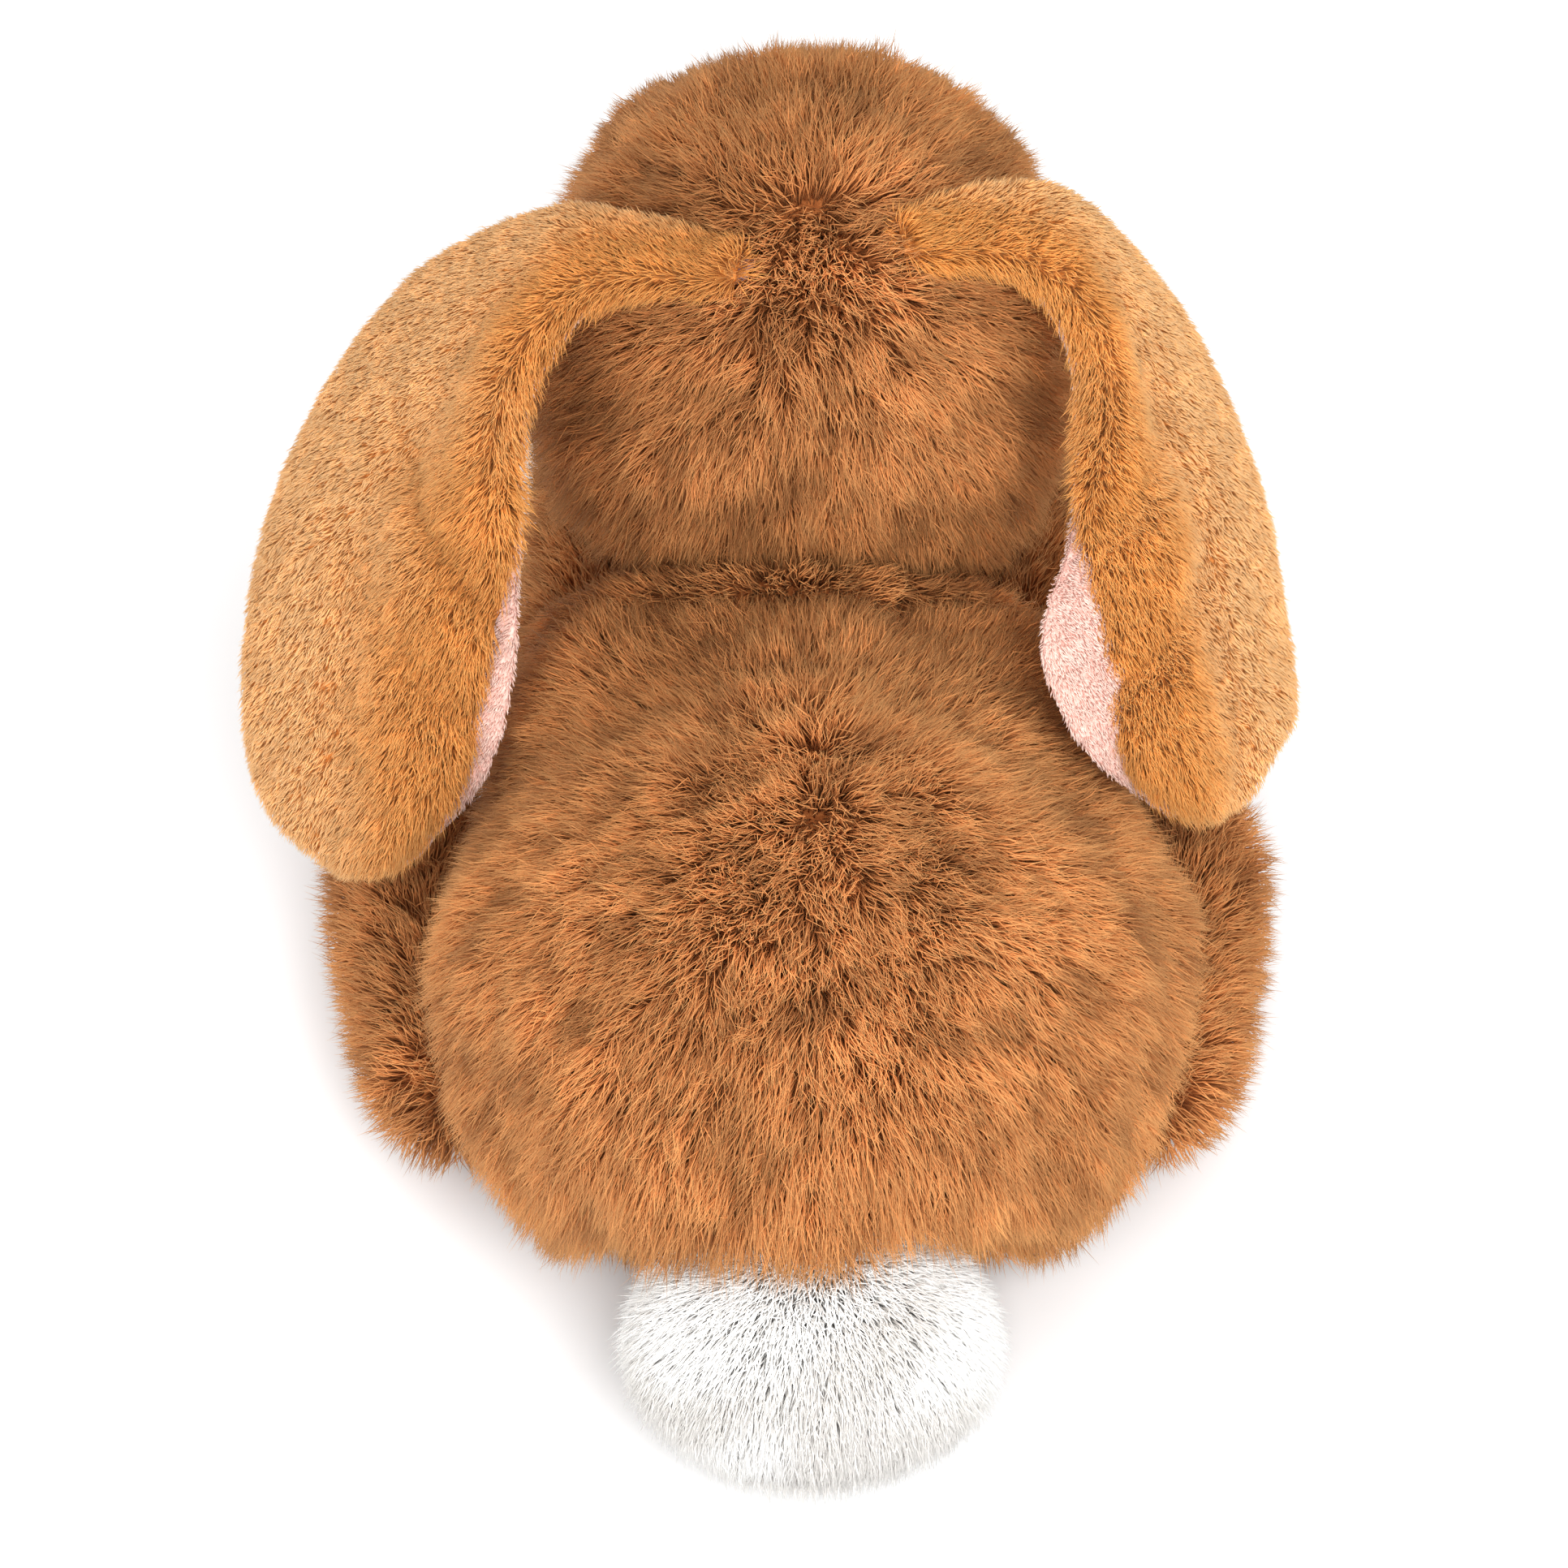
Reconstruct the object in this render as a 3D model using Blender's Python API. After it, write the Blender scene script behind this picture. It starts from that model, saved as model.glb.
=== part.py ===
"""Plush lop-eared rabbit lying on its belly. Metres, +Z up, nose towards -Y, left side +X."""

import bpy
import numpy as np

MM = 0.001

# Cloth and seams
PANEL_T = 4.5 * MM          # pile fabric, backing and pressed pile together
SEAM_GAP = 0.35 * MM        # each panel stops this far short of its seam line
STUFFING_GAP = 2.6 * MM     # between a cover and its stuffing
TORSO_STUFFING_GAP = 6.5 * MM
CONTACT_GAP = 4.8 * MM      # between sewn-together limbs and the torso
SOFT = 6.0 * MM             # rounding where two volumes meet
FLOOR_T = 3.0 * MM          # pressed fabric under the belly and paws

# Torso volumes: centre and radii
CHEST = ((0.0, -0.008, 0.045), (0.058, 0.050, 0.050))
SHOULDER = ((0.036, -0.021, 0.046), (0.030, 0.037, 0.041))
HAUNCH = ((0.0, 0.047, 0.052), (0.075, 0.071, 0.062))
THIGH = ((0.040, 0.036, 0.043), (0.041, 0.052, 0.043))
TORSO_CORE = (0.0, 0.030, 0.052)

# Head volumes
SKULL = ((0.0, -0.100, 0.096), (0.053, 0.055, 0.050))
CHEEK = ((0.022, -0.092, 0.082), (0.033, 0.044, 0.036))
BROW = ((0.002, -0.122, 0.100), (0.045, 0.038, 0.034))
MUZZLE = ((0.0, -0.146, 0.078), (0.024, 0.020, 0.020))
HEAD_CORE = (0.0, -0.100, 0.092)

# Legs: rear end, front end, rear radius, front radius
FRONT_LEG = ((0.041, -0.046, 0.022), (0.037, -0.134, 0.017), 0.021, 0.019)
HIND_LEG_LEFT = ((0.071, 0.038, 0.021), (0.081, -0.021, 0.019), 0.020, 0.0185)
HIND_LEG_RIGHT = ((0.067, 0.038, 0.021), (0.075, -0.020, 0.019), 0.020, 0.0185)

# Tail
TAIL = ((0.0, 0.110, 0.0245), (0.041, 0.033, 0.025))
TAIL_WAG = 10.0
TAIL_PIVOT = (0.0, 0.088, 0.0245)

# Head nod
NECK = (0.0, -0.064, 0.078)
NOD = (-2.0, 5.0)

# Ears: points along the middle line, outward normal of the flap and half width at each
LEFT_EAR = (
    ((0.019, -0.080, 0.1480), (0.15, 0.10, 1.00), 0.0085),
    ((0.043, -0.085, 0.1350), (0.50, 0.10, 0.85), 0.0140),
    ((0.0655, -0.078, 0.1185), (0.65, 0.20, 0.72), 0.0205),
    ((0.0785, -0.064, 0.1000), (0.62, 0.30, 0.72), 0.0265),
    ((0.085, -0.044, 0.0868), (0.50, 0.30, 0.80), 0.0295),
    ((0.088, -0.022, 0.0700), (0.45, 0.30, 0.83), 0.0280),
    ((0.0885, -0.005, 0.0585), (0.45, 0.30, 0.83), 0.0215),
    ((0.087, 0.006, 0.0500), (0.45, 0.30, 0.83), 0.0055),
)
RIGHT_EAR = (
    ((0.023, -0.088, 0.1470), (0.15, 0.10, 1.00), 0.0085),
    ((0.043, -0.092, 0.1350), (0.50, 0.10, 0.85), 0.0130),
    ((0.0586, -0.080, 0.1195), (0.70, 0.15, 0.70), 0.0160),
    ((0.066, -0.064, 0.1050), (0.68, 0.25, 0.68), 0.0210),
    ((0.0705, -0.046, 0.0970), (0.60, 0.28, 0.75), 0.0235),
    ((0.0735, -0.022, 0.0850), (0.55, 0.30, 0.78), 0.0240),
    ((0.0760, -0.004, 0.0780), (0.50, 0.30, 0.80), 0.0205),
    ((0.0795, 0.006, 0.0680), (0.50, 0.30, 0.80), 0.0055),
)
EAR_OUTER_T = 4.0 * MM
EAR_LINING_T = 3.0 * MM
EAR_GAP = 0.6 * MM            # half the space between the two cloths
EAR_ROWS = 16
EAR_COLUMNS = 6

# Seams, as places on the cube of directions that the covers are laid out on
CUBE_FACE = 0.99
CROWN_SEAM = 0.33           # behind this the head's back pieces begin, between the ears
GUSSET_HALF = 0.33
TAIL_OPENING = 0.42

# Face
EYE_R = 5.5 * MM
EYE_AT = (0.033, -0.146, 0.092)
NOSE_AT = (0.0, -0.166, 0.084)
NOSE_R = (0.0065, 0.004, 0.0045)
MOUTH_R = 0.8 * MM

COLOURS = {
    "pile": (0.62, 0.36, 0.16, 1.0),
    "ear_pile": (0.78, 0.47, 0.20, 1.0),
    "lining": (0.92, 0.72, 0.66, 1.0),
    "tail_pile": (0.93, 0.93, 0.91, 1.0),
    "stuffing": (0.90, 0.90, 0.88, 1.0),
    "eye_black": (0.01, 0.01, 0.01, 1.0),
    "nose_felt": (0.55, 0.28, 0.24, 1.0),
    "thread": (0.20, 0.10, 0.06, 1.0),
}


def clear_scene():
    for found in list(bpy.data.objects):
        bpy.data.objects.remove(found, do_unlink=True)


def material(name):
    made = bpy.data.materials.get(name)
    if made is None:
        made = bpy.data.materials.new(name)
        made.use_nodes = True
        shader = made.node_tree.nodes["Principled BSDF"]
        shader.inputs["Base Color"].default_value = COLOURS[name]
        shader.inputs["Roughness"].default_value = 0.2 if name == "eye_black" else 0.9
        shader.inputs["Metallic"].default_value = 0.0
    return made


def add_object(name, points, faces, slot):
    mesh = bpy.data.meshes.new(name)
    mesh.from_pydata([tuple(map(float, p)) for p in points], [], faces)
    mesh.validate()
    mesh.update()
    for face in mesh.polygons:
        face.use_smooth = True
    made = bpy.data.objects.new(name, mesh)
    made.data.materials.append(material(slot))
    bpy.context.scene.collection.objects.link(made)
    return made


# ---- distance fields; negative inside ----

def ellipsoid(p, centre, radii):
    q = (p - np.array(centre)) / np.array(radii)
    near = np.linalg.norm(q, axis=-1)
    slope = np.linalg.norm(q / np.array(radii), axis=-1)
    return near * (near - 1.0) / np.maximum(slope, 1e-9)


def capsule(p, start, end, start_r, end_r):
    a, b = np.array(start), np.array(end)
    along = np.clip((p - a) @ (b - a) / ((b - a) @ (b - a)), 0.0, 1.0)
    middle = a + along[..., None] * (b - a)
    return np.linalg.norm(p - middle, axis=-1) - (start_r + along * (end_r - start_r))


def join(a, b, soft=SOFT):
    mix = np.clip(0.5 + 0.5 * (b - a) / soft, 0.0, 1.0)
    return b + (a - b) * mix - soft * mix * (1.0 - mix)


def meet(a, b, soft=SOFT):
    return -join(-a, -b, soft)


def mirrored(volume, side):
    """A left-hand volume on the side asked for: the first item of each point changes sign."""
    sign = 1.0 if side == "left" else -1.0
    return tuple((sign * v[0], v[1], v[2]) if isinstance(v, tuple) else v for v in volume)


def at_side(centre, side):
    return (centre[0] if side == "left" else -centre[0], centre[1], centre[2])


def turned(p, pivot, axis, degrees):
    """Where each point was before the body turned about the axis through the pivot."""
    angle = np.radians(-degrees)
    i, j = [k for k in range(3) if k != axis]
    if axis == 1:
        i, j = j, i
    q = p - np.array(pivot)
    out = q.copy()
    out[..., i] = np.cos(angle) * q[..., i] - np.sin(angle) * q[..., j]
    out[..., j] = np.sin(angle) * q[..., i] + np.cos(angle) * q[..., j]
    return out + np.array(pivot)


def head_field(p):
    field = ellipsoid(p, *SKULL)
    for side in ("left", "right"):
        field = join(field, ellipsoid(p, at_side(CHEEK[0], side), CHEEK[1]), 0.012)
    field = join(field, ellipsoid(p, *BROW), 0.014)
    return join(field, ellipsoid(p, *MUZZLE), 0.010)


def tail_field(p):
    return ellipsoid(p, *TAIL)


def leg_volume(kind, side):
    if kind == "front":
        return mirrored(FRONT_LEG, side)
    return mirrored(HIND_LEG_LEFT if side == "left" else HIND_LEG_RIGHT, side)


def leg_field(kind, side):
    volume = leg_volume(kind, side)
    return lambda p: capsule(p, *volume)


def torso_bulk(p):
    field = join(ellipsoid(p, *CHEST), ellipsoid(p, *HAUNCH), 0.014)
    for centre, radii in (THIGH, SHOULDER):
        for side in ("left", "right"):
            field = join(field, ellipsoid(p, at_side(centre, side), radii), 0.012)
    return field


def torso_field(p):
    """The torso, hollowed where the head, the tail and the four legs lie against it."""
    field = torso_bulk(p)
    for nod in (NOD[0], 0.0, NOD[1]):
        head = head_field(turned(p, NECK, 0, nod))
        field = meet(field, CONTACT_GAP - head)
    for wag in (-TAIL_WAG, 0.0, TAIL_WAG):
        field = meet(field, CONTACT_GAP - tail_field(turned(p, TAIL_PIVOT, 2, wag)), 0.006)
    for kind in ("front", "hind"):
        for side in ("left", "right"):
            field = meet(field, CONTACT_GAP - leg_field(kind, side)(p), 0.005)
    return field


# ---- star-shaped shells ----

def cube_sphere(n, stretch):
    """Directions over a sphere on six n by n grids, and the faces between them."""
    steps = np.tan(np.linspace(-np.pi / 4, np.pi / 4, n + 1))
    points, faces, index = [], [], {}
    for axis in range(3):
        for sign in (-1.0, 1.0):
            grid = np.empty((n + 1, n + 1), int)
            for i, a in enumerate(steps):
                for j, b in enumerate(steps):
                    point = np.insert(np.array([a, b]), axis, sign)
                    key = tuple(np.round(point, 6))
                    if key not in index:
                        index[key] = len(points)
                        points.append(point)
                    grid[i, j] = index[key]
            for i in range(n):
                for j in range(n):
                    loop = [grid[i, j], grid[i + 1, j], grid[i + 1, j + 1], grid[i, j + 1]]
                    outward = (sign > 0) != (axis == 1)
                    faces.append(tuple(int(k) for k in (loop if outward else loop[::-1])))
    rays = np.array(points)
    rays /= np.linalg.norm(rays, axis=1)[:, None]
    rays *= np.array(stretch)
    return rays / np.linalg.norm(rays, axis=1)[:, None], faces


def surface(field, core, rays, depth=0.0, reach=0.2, steps=240):
    """The first point on each ray where the field rises above -depth."""
    core = np.array(core)
    low = np.zeros(len(rays))
    high = np.full(len(rays), reach)
    found = np.zeros(len(rays), bool)
    for step in np.linspace(0.0, reach, steps)[1:]:
        outside = field(core + rays * step) > -depth
        first = outside & ~found
        high[first] = step
        found |= outside
        low[~found] = step
    for _ in range(30):
        middle = (low + high) / 2
        outside = field(core + rays * middle[:, None]) > -depth
        high = np.where(outside, middle, high)
        low = np.where(outside, low, middle)
    return core + rays * high[:, None]


def on_floor(field, depth_z=0.0):
    return lambda p: np.maximum(field(p), depth_z - p[..., 2])


def with_floor(field, thickness):
    """The same volume pulled in by the thickness, and kept clear of the floor panel."""
    return lambda p: np.maximum(field(p) + thickness, FLOOR_T - p[..., 2])


def settled(points):
    points[np.abs(points[:, 2]) < 2e-6, 2] = 0.0
    return points


def solid(name, field, core, stretch, n, slot):
    rays, faces = cube_sphere(n, stretch)
    return add_object(name, settled(surface(field, core, rays)), faces, slot)


def panels(prefix, field, core, stretch, n, slot, label):
    """Sewn cover pieces with thickness and free edges. label(x, y, z) names the piece that a
    face belongs to, from its place on a cube that runs from -1 to 1."""
    rays, faces = cube_sphere(n, stretch)
    outer = settled(surface(on_floor(field), core, rays))
    inner = surface(with_floor(field, PANEL_T), core, rays)
    cube = rays / np.array(stretch)
    cube /= np.abs(cube).max(axis=1)[:, None]
    groups = {}
    for face in faces:
        groups.setdefault(label(*cube[list(face)].mean(axis=0)), []).append(face)
    made = []
    for group in sorted(k for k in groups if k):
        made.append(panel(prefix + group, outer, inner, groups[group], slot))
    return made


def panel(name, outer, inner, faces, slot):
    used = sorted({k for face in faces for k in face})
    place = {k: i for i, k in enumerate(used)}
    out, back = outer[used].copy(), inner[used].copy()
    edges = [(face[k], face[(k + 1) % 4]) for face in faces for k in range(4)]
    rim = [edge for edge in edges if (edge[1], edge[0]) not in set(edges)]
    rim_points = {k for edge in rim for k in edge}
    for k in rim_points:
        around = [face for face in faces if k in face]
        for side, whole in ((out, outer), (back, inner)):
            aim = np.mean([whole[list(face)].mean(axis=0) for face in around], axis=0) - whole[k]
            if whole[k][2] == 0.0:
                aim[2] = 0.0
            side[place[k]] += aim / np.linalg.norm(aim) * SEAM_GAP
    count = len(used)
    shell = [tuple(place[k] for k in face) for face in faces]
    shell += [tuple(place[k] + count for k in reversed(face)) for face in faces]
    shell += [(place[b], place[a], place[a] + count, place[b] + count) for a, b in rim]
    return add_object(name, np.vstack([out, back]), shell, slot)


# ---- the pieces ----

def torso():
    def label(x, y, z):
        if z < -CUBE_FACE:
            return "belly"
        return "back_left" if x > 0 else "back_right"
    panels("torso_", torso_field, TORSO_CORE, (0.9, 1.1, 0.75), 12, "pile", label)
    inside = with_floor(torso_field, PANEL_T + TORSO_STUFFING_GAP)
    solid("torso_stuffing", lifted(inside), TORSO_CORE, (0.9, 1.1, 0.75), 10, "stuffing")


def lifted(field):
    """Stuffing keeps clear of the floor panel as well."""
    return lambda p: np.maximum(field(p), FLOOR_T + STUFFING_GAP - p[..., 2])


def head():
    def label(x, y, z):
        if y > CROWN_SEAM:
            return "back_left" if x > 0 else "back_right"
        if z < -CUBE_FACE:
            return "chin"
        if abs(x) < GUSSET_HALF:
            return "forehead"
        return "cheek_left" if x > 0 else "cheek_right"
    panels("head_", head_field, HEAD_CORE, (1.0, 1.05, 0.95), 10, "pile", label)
    inside = with_floor(head_field, PANEL_T + STUFFING_GAP)
    solid("head_stuffing", inside, HEAD_CORE, (1.0, 1.05, 0.95), 6, "stuffing")


def leg(kind, side):
    start, end = (np.array(v) for v in leg_volume(kind, side)[:2])
    core = tuple((start + end) / 2)
    field = leg_field(kind, side)
    stretch = (0.5, 1.25, 0.5)

    def label(x, y, z):
        return "sole" if z < -CUBE_FACE else "upper"
    prefix = f"{kind}_leg_{side}_"
    panels(prefix, field, core, stretch, 6, "pile", label)
    inside = lifted(with_floor(field, PANEL_T + STUFFING_GAP))
    solid(prefix + "stuffing", inside, core, stretch, 4, "stuffing")


def tail():
    def label(x, y, z):
        return "" if y < -CUBE_FACE and abs(x) < TAIL_OPENING and abs(z) < TAIL_OPENING else "cover"
    centre = TAIL[0]
    panels("tail_", tail_field, centre, (1, 1, 1), 8, "tail_pile", label)
    inside = lifted(with_floor(tail_field, PANEL_T + STUFFING_GAP))
    solid("tail_stuffing", inside, centre, (1, 1, 1), 4, "stuffing")


def smooth_path(values, rows):
    """Rows evenly spread along a Catmull-Rom curve through the values."""
    values = np.array(values, float)
    ends = np.vstack([2 * values[0] - values[1], values, 2 * values[-1] - values[-2]])
    spots = np.linspace(0.0, len(values) - 1.0, rows)
    out = []
    for spot in spots:
        k = min(int(spot), len(values) - 2)
        t = spot - k
        a, b, c, d = ends[k:k + 4]
        out.append(0.5 * (2 * b + (c - a) * t + (2 * a - 5 * b + 4 * c - d) * t ** 2
                          + (3 * b - a - 3 * c + d) * t ** 3))
    return np.array(out)


def unit(rows):
    return rows / np.linalg.norm(rows, axis=1)[:, None]


def ear_frame(stations):
    """Middle line, direction across the flap towards the body, outward normal and half width."""
    middle = smooth_path([s[0] for s in stations], EAR_ROWS)
    half = smooth_path([[s[2]] for s in stations], EAR_ROWS)[:, 0]
    along = unit(np.gradient(middle, axis=0))
    up = smooth_path([s[1] for s in stations], EAR_ROWS)
    wide = unit(np.cross(up, along))
    return middle, wide, unit(np.cross(along, wide)), half


def ear_sheet(name, stations, side, near, far, slot):
    """One cloth piece of an ear between two heights above its middle surface."""
    middle, wide, up, half = ear_frame(stations)
    across = np.linspace(-1.0, 1.0, EAR_COLUMNS + 1)
    grid = []
    for height in (far, near):
        row = middle[:, None] + wide[:, None] * (half[:, None] * across)[..., None]
        arch = (0.10 * half[:, None] * (1 - across ** 2)) + height
        grid.append(row + up[:, None] * arch[..., None])
    top, bottom = grid
    if side == "right":
        top, bottom = top * (-1, 1, 1), bottom * (-1, 1, 1)
    rows, columns = top.shape[:2]
    points = np.vstack([top.reshape(-1, 3), bottom.reshape(-1, 3)])
    count = rows * columns
    faces = []
    for i in range(rows - 1):
        for j in range(columns - 1):
            a = i * columns + j
            loop = (a, a + 1, a + columns + 1, a + columns)
            faces += [loop, tuple(k + count for k in reversed(loop))]
    rim = [j for j in range(columns)]
    rim += [i * columns + columns - 1 for i in range(1, rows)]
    rim += [(rows - 1) * columns + j for j in range(columns - 2, -1, -1)]
    rim += [i * columns for i in range(rows - 2, 0, -1)]
    for a, b in zip(rim, rim[1:] + rim[:1]):
        faces.append((b, a, a + count, b + count))
    faces = outward(points, faces)
    return add_object(name, points, faces, slot)


def outward(points, faces):
    volume = 0.0
    for face in faces:
        a = points[face[0]]
        for b, c in zip(face[1:], face[2:]):
            volume += np.dot(a, np.cross(points[b], points[c]))
    return faces if volume > 0 else [tuple(reversed(face)) for face in faces]


def ears():
    for side, stations in (("left", LEFT_EAR), ("right", RIGHT_EAR)):
        ear_sheet(f"ear_{side}_outer", stations, side, EAR_GAP, EAR_OUTER_T, "ear_pile")
        ear_sheet(f"ear_{side}_lining", stations, side, -EAR_LINING_T, -EAR_GAP, "lining")


def on_head(direction):
    """The point where a ray from the head's core leaves the head, and the outward normal there."""
    ray = np.array(direction, float)
    ray /= np.linalg.norm(ray)
    at = surface(head_field, HEAD_CORE, ray[None])[0]
    step = 1e-5
    slope = [head_field(at[None] + step * e)[0] - head_field(at[None] - step * e)[0] for e in np.eye(3)]
    normal = np.array(slope) / np.linalg.norm(slope)
    return at, normal


def dome(name, at, normal, radii, slot, rings=5, spokes=16):
    """A button with a flat back, standing just clear of the cloth."""
    side = np.cross([0.0, 0.0, 1.0], normal)
    side /= np.linalg.norm(side)
    up = np.cross(normal, side)
    base = at + normal * 0.6 * MM
    points = []
    for k in range(rings):
        lift = k / rings * np.pi / 2
        for s in range(spokes):
            turn = 2 * np.pi * s / spokes
            ring = side * np.cos(turn) * radii[0] + up * np.sin(turn) * radii[2]
            points.append(base + ring * np.cos(lift) + normal * radii[1] * np.sin(lift))
    points.append(base + normal * radii[1])
    faces = [tuple(range(spokes))]
    for k in range(rings - 1):
        for s in range(spokes):
            t = (s + 1) % spokes
            faces.append((k * spokes + s, (k + 1) * spokes + s, (k + 1) * spokes + t, k * spokes + t))
    last = (rings - 1) * spokes
    for s in range(spokes):
        faces.append((last + s, len(points) - 1, last + (s + 1) % spokes))
    return add_object(name, points, outward(np.array(points), faces), slot)


def tube(name, path, radius, slot, spokes=8):
    path = np.array(path)
    along = np.gradient(path, axis=0)
    along /= np.linalg.norm(along, axis=1)[:, None]
    points = []
    for at, way in zip(path, along):
        side = np.cross(way, [0.0, 1.0, 0.0])
        side /= np.linalg.norm(side)
        up = np.cross(side, way)
        for s in range(spokes):
            turn = 2 * np.pi * s / spokes
            points.append(at + radius * (side * np.cos(turn) + up * np.sin(turn)))
    faces = [tuple(range(spokes)), tuple(reversed(range(len(points) - spokes, len(points))))]
    for k in range(len(path) - 1):
        for s in range(spokes):
            t = (s + 1) % spokes
            faces.append((k * spokes + s, (k + 1) * spokes + s, (k + 1) * spokes + t, k * spokes + t))
    return add_object(name, points, outward(np.array(points), faces), slot)


def face():
    for side, sign in (("left", 1.0), ("right", -1.0)):
        way = np.array([sign * EYE_AT[0], EYE_AT[1], EYE_AT[2]]) - np.array(HEAD_CORE)
        at, normal = on_head(way)
        dome(f"eye_{side}", at, normal, (EYE_R, 0.7 * EYE_R, EYE_R), "eye_black")
    at, normal = on_head(np.array(NOSE_AT) - np.array(HEAD_CORE))
    dome("nose", at, normal, NOSE_R, "nose_felt")
    path = []
    for turn in np.linspace(-1.0, 1.0, 13):
        drop = 0.0055 * (1 - abs(abs(turn) * 2 - 1) ** 2)
        way = np.array([0.011 * turn, -0.064, -0.019 - drop])
        at, normal = on_head(way)
        path.append(at + normal * (MOUTH_R + 0.4 * MM))
    tube("mouth_stitch", path, MOUTH_R, "thread")


def main():
    clear_scene()
    torso()
    head()
    ears()
    for side in ("left", "right"):
        leg("front", side)
        leg("hind", side)
    tail()
    face()


main()
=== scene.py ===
"""The looks of the lying plush rabbit: stuffed skins, long pile, short ear pile, face, studio.

Each stuffed body gets a skin laid just inside its CAD cover. Those of the torso and the head are
swollen a little by a cloth simulation, pinned at their middle seam. The pile grown on the skins
is made of closed tapered fibres, drawn together into tufts.
"""

import math
from collections import namedtuple

import bmesh
import bpy
import numpy as np
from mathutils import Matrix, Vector
from mathutils.bvhtree import BVHTree
from mathutils.kdtree import KDTree


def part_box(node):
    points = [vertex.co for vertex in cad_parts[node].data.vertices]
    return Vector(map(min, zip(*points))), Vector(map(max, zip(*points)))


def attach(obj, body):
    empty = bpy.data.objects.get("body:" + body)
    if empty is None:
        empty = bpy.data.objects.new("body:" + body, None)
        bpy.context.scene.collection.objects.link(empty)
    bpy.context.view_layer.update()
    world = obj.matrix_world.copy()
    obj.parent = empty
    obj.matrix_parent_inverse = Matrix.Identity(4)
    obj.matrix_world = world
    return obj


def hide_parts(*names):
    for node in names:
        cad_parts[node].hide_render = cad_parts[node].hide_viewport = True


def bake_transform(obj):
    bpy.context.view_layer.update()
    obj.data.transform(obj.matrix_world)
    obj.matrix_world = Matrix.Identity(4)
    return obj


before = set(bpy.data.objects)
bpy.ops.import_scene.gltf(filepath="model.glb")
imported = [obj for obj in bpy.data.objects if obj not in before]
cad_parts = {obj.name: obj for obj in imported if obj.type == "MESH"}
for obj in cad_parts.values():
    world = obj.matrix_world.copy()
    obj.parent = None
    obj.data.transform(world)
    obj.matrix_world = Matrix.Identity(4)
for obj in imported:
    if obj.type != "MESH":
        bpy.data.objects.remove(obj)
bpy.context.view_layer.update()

MM = 0.001
SEED = 20
FLOOR_CLEAR = 0.3 * MM                  # how far fibres stay off the floor
SKIN_CLEAR = 2.0 * MM                   # and the skins that they grow on
THIN = 1.0

# Where the star-shaped bodies are seen from when their skins are laid
CORES = {
    "torso": (0.0, 0.030, 0.052),
    "head": (0.0, -0.100, 0.092),
    "tail": (0.0, 0.110, 0.028),
}


def srgb(r, g, b):
    """A linear colour from the 0 to 255 values of a colour chart."""
    def channel(v):
        v = v / 255
        return v / 12.92 if v <= 0.04045 else ((v + 0.055) / 1.055) ** 2.4
    return (channel(r), channel(g), channel(b), 1.0)


# ---------------------------------------------------------------- meshes

def new_mesh_object(name, points, faces, smooth=True):
    """A mesh object from numpy points and an array of faces with one corner count."""
    points = np.asarray(points, np.float32)
    faces = np.asarray(faces, np.int32)
    mesh = bpy.data.meshes.new(name)
    mesh.vertices.add(len(points))
    mesh.vertices.foreach_set("co", points.ravel())
    corners = faces.shape[1]
    mesh.loops.add(faces.size)
    mesh.loops.foreach_set("vertex_index", faces.ravel())
    mesh.polygons.add(len(faces))
    mesh.polygons.foreach_set("loop_start", np.arange(0, faces.size, corners, dtype=np.int32))
    mesh.polygons.foreach_set("loop_total", np.full(len(faces), corners, np.int32))
    mesh.polygons.foreach_set("use_smooth", np.full(len(faces), smooth, bool))
    mesh.update()
    made = bpy.data.objects.new(name, mesh)
    bpy.context.scene.collection.objects.link(made)
    return made


def ico_sphere(name, detail):
    bm = bmesh.new()
    bmesh.ops.create_icosphere(bm, subdivisions=detail, radius=1.0)
    mesh = bpy.data.meshes.new(name)
    bm.to_mesh(mesh)
    bm.free()
    made = bpy.data.objects.new(name, mesh)
    bpy.context.scene.collection.objects.link(made)
    return made


def shade_smooth(mesh):
    for polygon in mesh.polygons:
        polygon.use_smooth = True


def points_of(obj):
    co = np.empty(len(obj.data.vertices) * 3, np.float32)
    obj.data.vertices.foreach_get("co", co)
    return co.reshape(-1, 3).astype(float)


def set_points(obj, points):
    obj.data.vertices.foreach_set("co", np.asarray(points, np.float32).ravel())
    obj.data.update()


def normals_of(obj):
    out = np.empty(len(obj.data.vertices) * 3, np.float32)
    obj.data.vertices.foreach_get("normal", out)
    return out.reshape(-1, 3).astype(float)


def unit(rows):
    return rows / np.maximum(np.linalg.norm(rows, axis=-1, keepdims=True), 1e-9)


def node_tree_of(nodes):
    """One ray-cast tree over several CAD nodes."""
    points, faces = [], []
    for name in nodes:
        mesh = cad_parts[name].data
        start = len(points)
        points += [v.co.copy() for v in mesh.vertices]
        faces += [[start + k for k in p.vertices] for p in mesh.polygons]
    return BVHTree.FromPolygons(points, faces)


def smoothed(values, edges, times):
    """Values averaged with their neighbours along the edges, several times."""
    count = np.bincount(edges.ravel(), minlength=len(values))[:, None]
    for _ in range(times):
        total = np.zeros_like(values)
        np.add.at(total, edges[:, 0], values[edges[:, 1]])
        np.add.at(total, edges[:, 1], values[edges[:, 0]])
        values = 0.5 * values + 0.5 * total / count
    return values


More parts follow.
